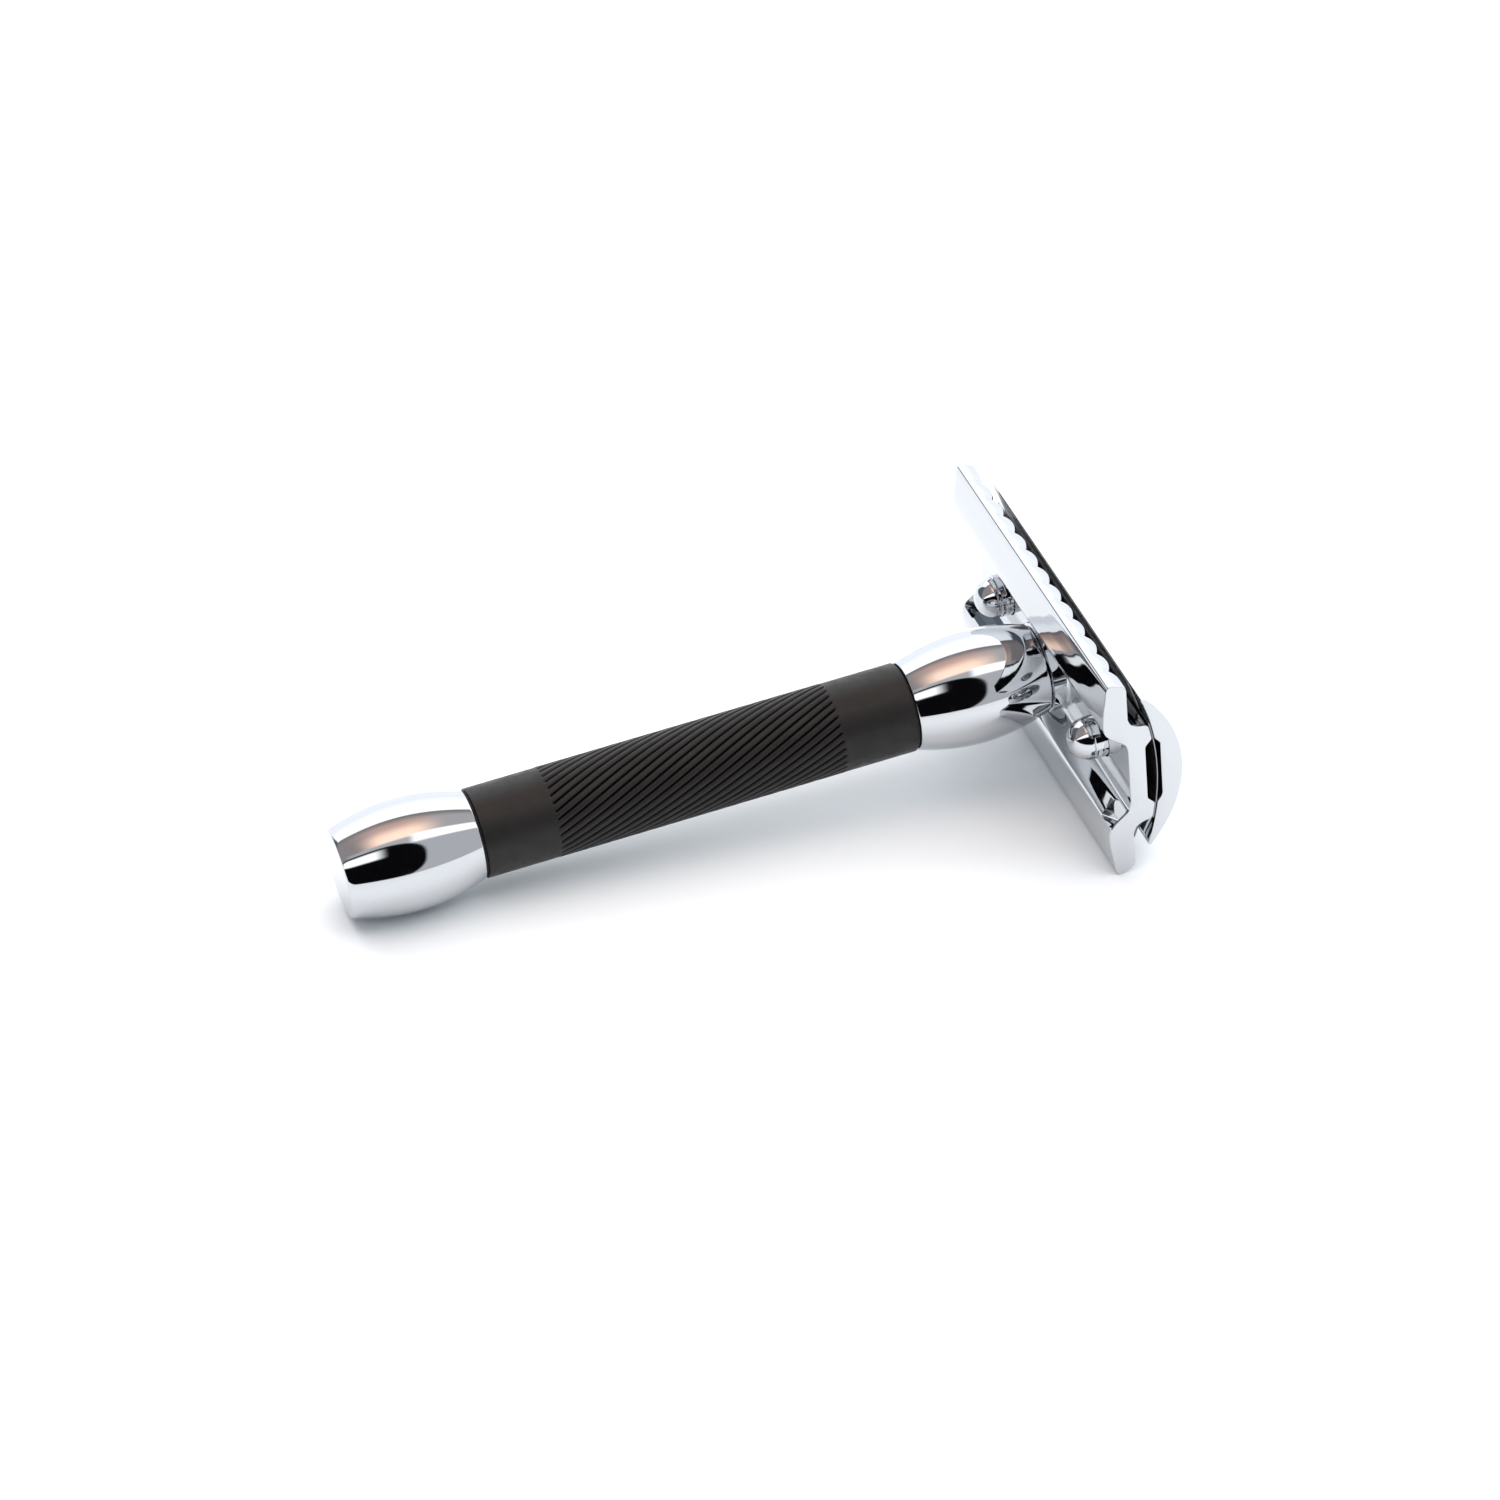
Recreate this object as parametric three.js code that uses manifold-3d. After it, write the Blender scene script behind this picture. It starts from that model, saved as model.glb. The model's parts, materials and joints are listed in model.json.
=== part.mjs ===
// Three-piece double-edge safety razor, lying on a flat surface.
// Units are millimetres, +Z is up. The pieces are drawn along the handle's own axis, X from the
// knob's end (0) to the top of the cap, Y along the head, Z square to both. One outer group then
// tilts the razor into the way it lies and puts the origin at the bottom centre of its box.

import * as THREE from 'three';
import { mergeVertices } from 'three/addons/utils/BufferGeometryUtils.js';
import Module from 'manifold-3d';

const wasm = await Module();
wasm.setup();

// Driving dimensions.
const HEAD_LENGTH = 43;
const KNOB_LENGTH = 15;
const KNOB_FACE_RADIUS = 4.7;
const COLLAR_START = 64;
const COLLAR_END = 79.24;
const RING_THICKNESS = 0.2;
const SLEEVE_RADIUS = 5.05;
const SLEEVE_CHAMFER = 0.15;
const BARREL_RADIUS = 6.2;
const BARREL_END_RADIUS = 4.9;
const ROD_RADIUS = 3;
const ROD_CLEARANCE = 0.05;
const ROD_START = 4;
const ROD_END = 69.5;

const THREAD_PITCH = 0.8;
const THREAD_MID_RADIUS = 2.27;
const THREAD_DEPTH = 0.46;
const THREAD_CLEARANCE = 0.13;
const POST_START = 71;
const POST_TIP_RADIUS = 1.7;
const POST_TURNS = 12;
const BORE_START = POST_START - THREAD_PITCH;

const WEB_FACE = 81.25;
const WEB_TOP = 83.2;
const BOSS_RADIUS = 5;
const BOSS_END = 79.34;
const POST_HOLE_RADIUS = 2.8;
const PEG_Y = 13.47;
const PEG_RADIUS = 2.35;
const PEG_TIP = 77.5;
const PEG_HOLE_RADIUS = 2.5;

const BLADE_CROWN = 84.45;
const BLADE_CURVE = 0.0168;
const BLADE_HALF_WIDTH = 10.85;
const BLADE_LENGTH = 42.7;
const BLADE_THICKNESS = 0.1;
const BLADE_GAP = 0.1;

const CAP_CROWN = 87.3;
const CAP_HALF_WIDTH = 9.95;
const CAP_EDGE = 83.25;
const CAP_SLOT_FACE = 84.88;
const SLOT_HALF_WIDTH = 3.5;
const CLAMP_START = 4.4;
const SOCKET_DEPTH = 1.2;
const SOCKET_CLEARANCE = 0.05;

const BAR_LOBES = 13;
const BAR_TOP = 81.4;
const LOBE_HEIGHT = 0.6;
const BAR_ROOT = 7.6;
const BAR_TIP = 12.9;
const DRAIN_SIDE = 2.6;

const ROUND_STEPS = 36;
const CHROME = { color: 0xd9dbde, roughness: 0.08, metalness: 1 };
const STEEL = { color: 0xb4b8bc, roughness: 0.25, metalness: 1 };
const SATIN_BLACK = { color: 0x1d1a18, roughness: 0.55, metalness: 0.2 };
const RUBBER = { color: 0x0a0a0a, roughness: 0.8, metalness: 0 };

const ALONG = new THREE.Vector3(1, 0, 0);
const ACROSS = new THREE.Vector3(0, 1, 0);
const SQUARE = new THREE.Vector3(0, 0, 1);

// ---- solids ---------------------------------------------------------------

function flipped(index) {
  const turned = new Uint32Array(index.length);
  for (let i = 0; i < index.length; i += 3) {
    turned.set([index[i], index[i + 2], index[i + 1]], i);
  }
  return turned;
}

// A closed three.js geometry as a manifold solid that faces outwards.
function solid(geometry) {
  const bare = geometry.clone();
  bare.deleteAttribute('normal');
  bare.deleteAttribute('uv');
  const merged = mergeVertices(bare, 1e-4);
  const kept = [];
  const raw = merged.index.array;
  for (let i = 0; i < raw.length; i += 3) {
    const [a, b, c] = [raw[i], raw[i + 1], raw[i + 2]];
    if (a !== b && b !== c && c !== a) {
      kept.push(a, b, c);
    }
  }
  const index = new Uint32Array(kept);
  const vertices = new Float32Array(merged.attributes.position.array);
  const build = (triVerts) => new wasm.Manifold(
    new wasm.Mesh({ numProp: 3, vertProperties: vertices, triVerts }));
  const made = build(index);
  return made.volume() > 0 ? made : build(flipped(index));
}

function geometryOf(made) {
  const mesh = made.getMesh();
  const geometry = new THREE.BufferGeometry();
  geometry.setAttribute('position', new THREE.BufferAttribute(mesh.vertProperties, 3));
  geometry.setIndex(new THREE.BufferAttribute(mesh.triVerts, 1));
  const faceted = geometry.toNonIndexed();
  faceted.computeVertexNormals();
  return faceted;
}

function piece(name, made, finish) {
  const mesh = new THREE.Mesh(geometryOf(made), new THREE.MeshStandardMaterial(finish));
  mesh.name = name;
  return mesh;
}

// A profile of [x, radius] points turned about the handle's axis.
function turned(profile) {
  const points = profile.map(([x, radius]) => new THREE.Vector2(radius, x));
  const geometry = new THREE.LatheGeometry(points, ROUND_STEPS);
  return solid(geometry.rotateZ(-Math.PI / 2));
}

function disc(from, to, radius, y = 0) {
  return turned([[from, 0], [from, radius], [to, radius], [to, 0]]).translate([0, y, 0]);
}

// A section in X and Z, drawn along the head and centred on it.
function alongHead(shape, length) {
  const geometry = new THREE.ExtrudeGeometry(shape, { depth: length, bevelEnabled: false });
  geometry.rotateX(Math.PI / 2);
  geometry.translate(0, length / 2, 0);
  return solid(geometry);
}

// A plan in Y and Z, drawn along the handle's axis.
function alongHandle(shape, from, to) {
  const options = { depth: to - from, bevelEnabled: false, curveSegments: 8 };
  const geometry = new THREE.ExtrudeGeometry(shape, options);
  geometry.applyMatrix4(new THREE.Matrix4().makeBasis(ACROSS, SQUARE, ALONG));
  geometry.translate(from, 0, 0);
  return solid(geometry);
}

// A half section from the middle outwards, closed by its mirror image below.
function mirroredShape(top, bottom) {
  const upper = [...top, ...bottom.toReversed()];
  const lower = upper.filter(([, z]) => z > 0).map(([x, z]) => [x, -z]).toReversed();
  const middle = upper.filter(([, z]) => z === 0);
  const ring = [middle[0], ...upper.filter(([, z]) => z > 0), middle[1], ...lower];
  return new THREE.Shape(ring.map(([x, z]) => new THREE.Vector2(x, z)));
}

// ---- handle ---------------------------------------------------------------

// Radius of the knob's and collar's barrel, a round bulge between two equal ends.
function barrelRadius(t) {
  const sag = BARREL_RADIUS - BARREL_END_RADIUS;
  return BARREL_RADIUS - sag * (2 * t - 1) ** 2;
}

function barrelProfile(from, to, steps = 12) {
  return Array.from({ length: steps + 1 }, (_, i) => {
    const t = i / steps;
    return [from + (to - from) * t, barrelRadius(t)];
  });
}

function knobProfile() {
  const face = [[0, 0], [0, KNOB_FACE_RADIUS], [0.15, BARREL_END_RADIUS]];
  const barrel = barrelProfile(0, KNOB_LENGTH - 0.1).filter(([x]) => x > 0.3);
  const end = KNOB_LENGTH - 0.1;
  return [...face, ...barrel, [end, 0]];
}

function endKnob() {
  const bore = disc(ROD_START - 0.3, KNOB_LENGTH + 1, ROD_RADIUS + ROD_CLEARANCE);
  return turned(knobProfile()).subtract(bore);
}

function tube(from, to, inner, outer) {
  return turned([[from, inner], [from, outer], [to, outer], [to, inner], [from, inner]]);
}

function gripSleeve() {
  const from = KNOB_LENGTH + RING_THICKNESS;
  const to = COLLAR_START - RING_THICKNESS;
  const inner = ROD_RADIUS + ROD_CLEARANCE;
  const lip = SLEEVE_RADIUS - SLEEVE_CHAMFER;
  return turned([
    [from, inner], [from, lip], [from + SLEEVE_CHAMFER, SLEEVE_RADIUS],
    [to - SLEEVE_CHAMFER, SLEEVE_RADIUS], [to, lip], [to, inner], [from, inner],
  ]);
}

// A round-form screw thread: a cylinder whose radius rises and falls along a right-hand helix.
function threaded(from, to, spread) {
  const stepsPerTurn = 6;
  const around = 18;
  const steps = Math.round((to - from) / THREAD_PITCH * stepsPerTurn);
  const geometry = new THREE.CylinderGeometry(1, 1, to - from, around, steps);
  geometry.rotateZ(-Math.PI / 2);
  geometry.translate((from + to) / 2, 0, 0);
  const place = geometry.attributes.position;
  for (let i = 0; i < place.count; i += 1) {
    const [x, y, z] = [place.getX(i), place.getY(i), place.getZ(i)];
    const size = Math.hypot(y, z);
    if (size > 0.5) {
      const phase = 2 * Math.PI * x / THREAD_PITCH - Math.atan2(z, y);
      const radius = THREAD_MID_RADIUS + spread + THREAD_DEPTH / 2 * Math.cos(phase);
      place.setY(i, y / size * radius);
      place.setZ(i, z / size * radius);
    }
  }
  return solid(geometry);
}

function collar() {
  const barrel = barrelProfile(COLLAR_START + 0.1, COLLAR_END - 0.02);
  const body = turned([[COLLAR_START + 0.1, 0], ...barrel, [COLLAR_END - 0.02, 0]]);
  const rodBore = disc(COLLAR_START - 1, ROD_END + 0.3, ROD_RADIUS + ROD_CLEARANCE);
  const bore = threaded(BORE_START, COLLAR_END + THREAD_PITCH, THREAD_CLEARANCE);
  return body.subtract(rodBore).subtract(bore);
}

// ---- head -----------------------------------------------------------------

function clampCurve(z, offset) {
  return BLADE_CROWN + offset - BLADE_CURVE * z * z;
}

function clampPoints(offset, from, to, steps) {
  return Array.from({ length: steps + 1 }, (_, i) => {
    const z = from + (to - from) * i / steps;
    return [clampCurve(z, offset), z];
  });
}

const CLAMP_OFFSET = BLADE_THICKNESS / 2 + BLADE_GAP;

function guardSection() {
  const cutting = [
    [WEB_TOP, 0], [WEB_TOP, SLOT_HALF_WIDTH],
    ...clampPoints(-CLAMP_OFFSET, CLAMP_START, 6.1, 2),
    [83.35, 6.4], [82.5, 6.55], [81.8, 6.95], [BAR_TOP, BAR_ROOT],
    [BAR_TOP, 11.6], [81.25, 12.15], [80.8, 12.45], [79.6, BAR_TIP],
  ];
  const holding = [
    [WEB_FACE, 0], [WEB_FACE, 3.6], [81.05, 4.35], [80.6, 4.9], [79.3, 5.9], [78.85, 6.4],
    [78.6, 7.1], [78.6, 8.2], [79, 11], [79.3, BAR_TIP - 0.1],
  ];
  return mirroredShape(cutting, holding);
}

// The space above the row of rounded lobes on a bar, as a tool to cut it with.
function lobeCutter() {
  const pitch = HEAD_LENGTH / BAR_LOBES;
  const half = pitch / 2;
  const radius = (half * half + LOBE_HEIGHT * LOBE_HEIGHT) / (2 * LOBE_HEIGHT);
  const spread = Math.asin(half / radius);
  const start = -HEAD_LENGTH / 2;
  const shape = new THREE.Shape();
  shape.moveTo(start + half, BAR_TOP + 1);
  shape.lineTo(start + half, BAR_TOP);
  for (let i = 0; i < BAR_LOBES; i += 1) {
    const centre = start + pitch * (i + 0.5);
    const from = i === 0 ? 0 : -spread;
    const to = i === BAR_LOBES - 1 ? 0 : spread;
    const up = Math.PI / 2;
    shape.absarc(centre, BAR_TOP - radius, radius, up - from, up - to, true);
  }
  shape.lineTo(-start - half, BAR_TOP + 1);
  const options = { depth: BAR_TIP - BAR_ROOT + 1, bevelEnabled: false, curveSegments: 6 };
  const geometry = new THREE.ExtrudeGeometry(shape, options);
  geometry.applyMatrix4(new THREE.Matrix4().makeBasis(ACROSS, ALONG, SQUARE.clone().negate()));
  geometry.translate(0, 0, BAR_TIP + 1);
  return solid(geometry);
}

// A square drain through a wing's inner wall, near one corner of the plate.
function drain(endSide, wingSide) {
  const geometry = new THREE.BoxGeometry(DRAIN_SIDE, DRAIN_SIDE, 7);
  geometry.rotateY(wingSide * Math.PI / 4);
  geometry.translate(81, endSide * (HEAD_LENGTH / 2 - 1.6), wingSide * 6.8);
  return solid(geometry);
}

function guardPlate() {
  let plate = alongHead(guardSection(), HEAD_LENGTH);
  plate = plate.add(disc(BOSS_END, WEB_FACE + 0.5, BOSS_RADIUS));
  plate = plate.subtract(disc(BOSS_END - 1, WEB_TOP + 2, POST_HOLE_RADIUS));
  const cutter = lobeCutter();
  for (const side of [-1, 1]) {
    plate = plate.subtract(disc(WEB_FACE - 1, WEB_TOP + 2, PEG_HOLE_RADIUS, side * PEG_Y));
    plate = plate.subtract(side > 0 ? cutter : cutter.mirror([0, 0, 1]));
    plate = plate.subtract(drain(-1, side)).subtract(drain(1, side));
  }
  return plate;
}

function capSection() {
  const rise = CAP_CROWN - CAP_EDGE;
  const radius = (CAP_HALF_WIDTH ** 2 + rise ** 2) / (2 * rise);
  const spread = Math.asin(CAP_HALF_WIDTH / radius);
  const steps = 14;
  const dome = Array.from({ length: steps + 1 }, (_, i) => {
    const angle = spread * i / steps;
    return [CAP_CROWN - radius * (1 - Math.cos(angle)), radius * Math.sin(angle)];
  });
  const under = [
    [CAP_SLOT_FACE, 0], [CAP_SLOT_FACE, SLOT_HALF_WIDTH],
    ...clampPoints(CLAMP_OFFSET, CLAMP_START, CAP_HALF_WIDTH - 0.1, 6),
  ];
  return mirroredShape(dome, under);
}

function capShell() {
  let shell = alongHead(capSection(), HEAD_LENGTH);
  const from = CAP_SLOT_FACE - 1;
  const to = CAP_SLOT_FACE + SOCKET_DEPTH;
  shell = shell.subtract(disc(from, to, THREAD_MID_RADIUS + SOCKET_CLEARANCE));
  for (const side of [-1, 1]) {
    shell = shell.subtract(disc(from, to, PEG_RADIUS + SOCKET_CLEARANCE, side * PEG_Y));
  }
  return shell;
}

function post() {
  const shankEnd = CAP_SLOT_FACE + SOCKET_DEPTH - SOCKET_CLEARANCE;
  const threadEnd = POST_START + THREAD_PITCH * POST_TURNS;
  const shank = disc(threadEnd - 0.1, shankEnd, THREAD_MID_RADIUS);
  const reach = threadEnd - POST_START;
  const point = turned([
    [POST_START, 0], [POST_START, POST_TIP_RADIUS], [threadEnd, POST_TIP_RADIUS + reach], [threadEnd, 0],
  ]);
  return threaded(POST_START, threadEnd, 0).intersect(point).add(shank);
}

function peg(side) {
  const dome = Array.from({ length: 7 }, (_, i) => {
    const angle = Math.PI / 2 * i / 6;
    return [PEG_TIP + PEG_RADIUS * (1 - Math.cos(angle)), PEG_RADIUS * Math.sin(angle)];
  });
  const root = CAP_SLOT_FACE + SOCKET_DEPTH - SOCKET_CLEARANCE;
  return turned([...dome, [root, PEG_RADIUS], [root, 0]]).translate([0, side * PEG_Y, 0]);
}

// The plan of a double-edge blade: corner notches outside, one long slot inside.
function bladePlan() {
  const half = BLADE_LENGTH / 2;
  const notch = half - 2.6;
  const shoulder = 6.5;
  const corners = [
    [-half, -shoulder], [-notch, -shoulder], [-notch, -12], [notch, -12],
    [notch, -shoulder], [half, -shoulder],
  ];
  const ring = [...corners, ...corners.map(([y, z]) => [-y, -z])];
  return new THREE.Shape(ring.map(([y, z]) => new THREE.Vector2(y, z)));
}

function blade() {
  const half = BLADE_THICKNESS / 2;
  const above = clampPoints(half, 0, BLADE_HALF_WIDTH - 0.15, 8);
  const edge = [clampCurve(BLADE_HALF_WIDTH, 0), BLADE_HALF_WIDTH];
  const below = clampPoints(-half, 0, BLADE_HALF_WIDTH - 0.15, 8);
  const sheet = alongHead(mirroredShape([...above, edge], below), BLADE_LENGTH);
  const low = CAP_EDGE - 3;
  const high = CAP_CROWN;
  let made = sheet.intersect(alongHandle(bladePlan(), low, high));
  const slot = new THREE.Shape();
  const slotHalf = BLADE_LENGTH / 2 - 2.6;
  slot.moveTo(-slotHalf, -1.2);
  slot.lineTo(slotHalf, -1.2);
  slot.lineTo(slotHalf, 1.2);
  slot.lineTo(-slotHalf, 1.2);
  made = made.subtract(alongHandle(slot, low, high));
  for (const y of [-PEG_Y, 0, PEG_Y]) {
    made = made.subtract(disc(low, high, PEG_HOLE_RADIUS + 0.15, y));
  }
  return made;
}

// ---- assembly -------------------------------------------------------------

// The slope at which the razor lies: a line under the knob's barrel and the guard's lower bar.
function restingTilt() {
  const slopes = knobProfile().map(([x, radius]) => Math.atan2(BAR_TIP - radius, 79.5 - x));
  return Math.min(...slopes);
}

const ringInner = ROD_RADIUS + ROD_CLEARANCE;
const ringOuter = BARREL_END_RADIUS - 0.2;

const razor = new THREE.Group();
razor.add(
  piece('end_knob', endKnob(), CHROME),
  piece('knob_ring', tube(KNOB_LENGTH, KNOB_LENGTH + RING_THICKNESS - 0.05, ringInner, ringOuter), RUBBER),
  piece('grip_sleeve', gripSleeve(), SATIN_BLACK),
  piece('collar_ring', tube(COLLAR_START - RING_THICKNESS + 0.05, COLLAR_START, ringInner, ringOuter), RUBBER),
  piece('collar', collar(), CHROME),
  piece('core_rod', disc(ROD_START, ROD_END, ROD_RADIUS), STEEL),
  piece('guard_plate', guardPlate(), CHROME),
  piece('cap_shell', capShell(), CHROME),
  piece('cap_post', post(), STEEL),
  piece('cap_peg_near', peg(-1), CHROME),
  piece('cap_peg_far', peg(1), CHROME),
  piece('blade', blade(), STEEL),
);
razor.rotation.y = -restingTilt();

const lying = new THREE.Group();
lying.add(razor);
lying.updateMatrixWorld(true);
const box = new THREE.Box3().setFromObject(lying, true);
const centre = box.getCenter(new THREE.Vector3());
razor.position.set(-centre.x, -centre.y, -box.min.z);

export default lying;
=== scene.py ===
"""Looks of the double-edge safety razor: smooth detailed pieces around the CAD frame.

Every piece is drawn in millimetres in the handle's own axes: u along the handle from the
knob's end to the cap's crown, v along the head, w square to both. place() turns that into
metres in the row frame.
"""
import json
import math

import bmesh
import bpy
from mathutils import Matrix, Vector


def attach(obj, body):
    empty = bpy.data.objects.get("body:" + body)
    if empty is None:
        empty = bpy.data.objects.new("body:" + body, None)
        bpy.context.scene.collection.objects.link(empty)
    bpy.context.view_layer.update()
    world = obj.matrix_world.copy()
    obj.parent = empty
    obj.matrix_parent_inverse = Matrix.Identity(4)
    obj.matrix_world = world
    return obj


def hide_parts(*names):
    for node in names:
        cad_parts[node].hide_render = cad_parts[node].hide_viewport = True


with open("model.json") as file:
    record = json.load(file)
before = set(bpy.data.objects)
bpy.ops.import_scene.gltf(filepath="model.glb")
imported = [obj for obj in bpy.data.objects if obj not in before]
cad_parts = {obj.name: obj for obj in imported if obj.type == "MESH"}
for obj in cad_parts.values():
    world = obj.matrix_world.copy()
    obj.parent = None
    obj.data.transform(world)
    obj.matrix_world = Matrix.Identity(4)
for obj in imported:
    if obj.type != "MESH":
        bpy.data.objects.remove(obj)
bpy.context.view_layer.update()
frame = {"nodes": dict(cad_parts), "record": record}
record = frame["record"]

# ---- driving sizes, millimetres -----------------------------------------------------

HEAD_LENGTH = 43.0
KNOB_END = 14.9
SLEEVE_START, SLEEVE_END = 15.2, 63.8
COLLAR_START, COLLAR_END = 64.1, 79.22
BARREL_RADIUS, BARREL_END_RADIUS = 6.2, 4.9
BORE_RADIUS = 3.05
KNOB_RING, COLLAR_RING = (14.98, 15.17), (63.83, 64.02)
RING_INNER, RING_OUTER = 3.1, 4.66
SLEEVE_RADIUS, SLEEVE_BORE, SLEEVE_END_RADIUS = 4.94, 3.1, 4.6
KNURL_START, KNURL_END = 23.2, 55.6
KNURL_GROOVES, KNURL_POINTS = 34, 10
KNURL_SLOPE = 0.435
KNURL_DEPTH, KNURL_CREST, KNURL_RAMP = 0.26, 0.03, 0.18
# Share of the knurl's depth at which the painted groove shade reaches full strength.
PAINTED_GROOVE_SHADE_SHARE = 0.6

WEB_FACE, WEB_TOP = 81.25, 83.2
BOSS_RADIUS, BOSS_END = 5.0, 79.34
POST_HOLE_RADIUS = 2.8
PEG_V, PEG_RADIUS, PEG_TIP, PEG_HOLE_RADIUS = 13.47, 2.35, 77.5, 2.5
SOCKET_TOP = 86.03
CAP_CROWN, CAP_HALF_WIDTH, CAP_EDGE, CAP_SLOT_FACE = 87.3, 9.95, 83.25, 84.88
SLOT_HALF_WIDTH = 3.5
BAR_LOBES, BAR_TOP, LOBE_HEIGHT, BAR_ROOT, BAR_TIP = 13, 81.4, 0.6, 7.6, 12.9
DRAIN_SIDE, DRAIN_REACH = 2.6, 7.0
DRAIN_U, DRAIN_W, DRAIN_FROM_END = 81.0, 6.8, 1.6
BLADE_CROWN, BLADE_CURVE, BLADE_HALF_WIDTH = 84.45, 0.0168, 10.85
BLADE_LENGTH, BLADE_THICKNESS, BLADE_GRIND = 42.7, 0.1, 0.35
BLADE_NOTCH, BLADE_SHOULDER, BLADE_SLOT_HALF = 2.6, 6.5, 1.2
CLAMP_OFFSET = 0.15
POST_START, POST_END, POST_TIP_RADIUS = 71.0, 80.6, 1.5
THREAD_PITCH, THREAD_MID_RADIUS, THREAD_DEPTH = 0.8, 2.27, 0.46

# ---- camera, light and floor: degrees, metres, watts ---------------------------------------

CAMERA_AZIMUTH, CAMERA_ELEVATION, CAMERA_ROLL = -19.8, 37.82, 0.12
CAMERA_TARGET = (0.00274, -0.00009, 0.01017)
CAMERA_DISTANCE, CAMERA_LENS, CAMERA_SENSOR = 0.6, 134.6, 36
OVERHEAD_PLACE, OVERHEAD_SIZE, OVERHEAD_POWER = (0.1, 0.1, 0.9), 1.5, 10.5
OVERHEAD_TINT = (0.98, 0.99, 1)
FLOOR_HALF = 3.0

# ---- surroundings: colours, and the dark opening's middle and reach in degrees -----------

# Painted shade: near black laid into the sleeve's knurl grooves.
PAINTED_GROOVE_SHADE = (0.002, 0.002, 0.002)
WALL_LEFT, WALL_RIGHT = (0.34, 0.35, 0.38), (0.66, 0.67, 0.70)
STRIP_WHITE = (1.9, 1.9, 1.9)
PANEL_BRIGHT, PANEL_DEEP = (2.0, 1.4, 1.08), (0.85, 0.58, 0.50)
PANEL_GREY, PANEL_EDGE = (0.62, 0.6, 0.61), (0.30, 0.28, 0.28)
PANEL_LEFT = (0.42, 0.37, 0.37)
HOLE_BLACK = (0.004, 0.004, 0.005)
HOLE_RISE, HOLE_HALF_RISE, HOLE_LEAN, HOLE_REACH = 29.0, 37.0, -20.0, 33.0
BACKDROP_TOP, BACKDROP_FOOT = (1.9, 1.92, 1.95), (1.42, 1.48, 1.56)
BACKDROP_LEFT = (0.14, 0.17, 0.21)

# ---- axes -----------------------------------------------------------------------------

knob_mount = next(m for m in record["mounts"] if m["name"] == "knob_end")
AXIS = -Vector(knob_mount["axis"])
ACROSS = Vector((0, 1, 0))
SQUARE = AXIS.cross(ACROSS)
KNOB_FACE = Vector(knob_mount["pos_m"])


def place(u, v, w):
    return KNOB_FACE + (AXIS * u + ACROSS * v + SQUARE * w) / 1000


# ---- mesh helpers ---------------------------------------------------------------------


def make_piece(name, verts, faces, sharp_degrees=30):
    """A piece from points in the handle's axes, smooth between its sharp edges."""
    mesh = bpy.data.meshes.new(name)
    mesh.from_pydata([place(*p) for p in verts], [], faces)
    mesh.validate()
    piece = bpy.data.objects.new(name, mesh)
    bpy.context.scene.collection.objects.link(piece)
    clean(piece, sharp_degrees)
    return piece


def clean(piece, sharp_degrees=30):
    """Outward normals, and smooth shading that stops at edges sharper than the angle."""
    bm = bmesh.new()
    bm.from_mesh(piece.data)
    bmesh.ops.remove_doubles(bm, verts=bm.verts, dist=1e-7)
    bmesh.ops.dissolve_degenerate(bm, dist=1e-7, edges=bm.edges)
    bmesh.ops.recalc_face_normals(bm, faces=bm.faces)
    limit = math.radians(sharp_degrees)
    for edge in bm.edges:
        edge.smooth = not (edge.is_manifold and edge.calc_face_angle() > limit)
    for face in bm.faces:
        face.smooth = True
    bm.to_mesh(piece.data)
    bm.free()


def ring_faces(count, rings, closed=False):
    """Quads between successive rings of count points each."""
    last = rings if closed else rings - 1
    faces = []
    for r in range(last):
        for i in range(count):
            j = (i + 1) % count
            a, b = r * count, (r + 1) % rings * count
            faces.append((a + i, a + j, b + j, b + i))
    return faces


def circle(u, radius, around, v=0.0, first=0.0):
    """Points round the handle's axis, or one beside it at v, from the first angle."""
    angles = (first + 2 * math.pi * i / around for i in range(around))
    return [(u, v + radius * math.cos(a), radius * math.sin(a)) for a in angles]


def lathe(name, profile, around=160, v=0.0, sharp_degrees=30):
    """A profile of (u, radius) turned about the handle's axis, or one beside it at v.

    The profile runs from end to end and is closed on the axis where its radius is 0,
    or onto its own start where that point is repeated."""
    ring_shaped = profile[0] == profile[-1]
    rows = profile[:-1] if ring_shaped else profile
    verts = [point for u, radius in rows for point in circle(u, radius, around, v)]
    faces = ring_faces(around, len(rows), closed=ring_shaped)
    return make_piece(name, verts, faces, sharp_degrees)


def prism_faces(count):
    """Faces of a closed outline of count points drawn from one row to a second."""
    return ring_faces(count, 2) + [tuple(range(count)), tuple(range(count, 2 * count))]


def boolean(piece, tool, operation):
    """piece cut by, or joined with, tool, which is used up."""
    modifier = piece.modifiers.new("join", "BOOLEAN")
    modifier.operation = operation
    modifier.solver = "EXACT"
    modifier.object = tool
    graph = bpy.context.evaluated_depsgraph_get()
    mesh = bpy.data.meshes.new_from_object(piece.evaluated_get(graph))
    piece.modifiers.clear()
    piece.data = mesh
    bpy.data.objects.remove(tool)


def round_corner(corners, radius, steps=4):
    """An open or closed row of 2-D points with each inner corner rounded off by an arc."""
    result = [corners[0]]
    for before, corner, after in zip(corners, corners[1:], corners[2:]):
        here = Vector(corner)
        back, ahead = Vector(before) - here, Vector(after) - here
        reach = min(radius, back.length * 0.45, ahead.length * 0.45)
        start = here + back.normalized() * reach
        end = here + ahead.normalized() * reach
        for i in range(steps + 1):
            t = i / steps
            point = start * (1 - t) ** 2 + here * 2 * t * (1 - t) + end * t * t
            result.append(tuple(point))
    result.append(corners[-1])
    return result


# ---- materials ------------------------------------------------------------------------


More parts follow.
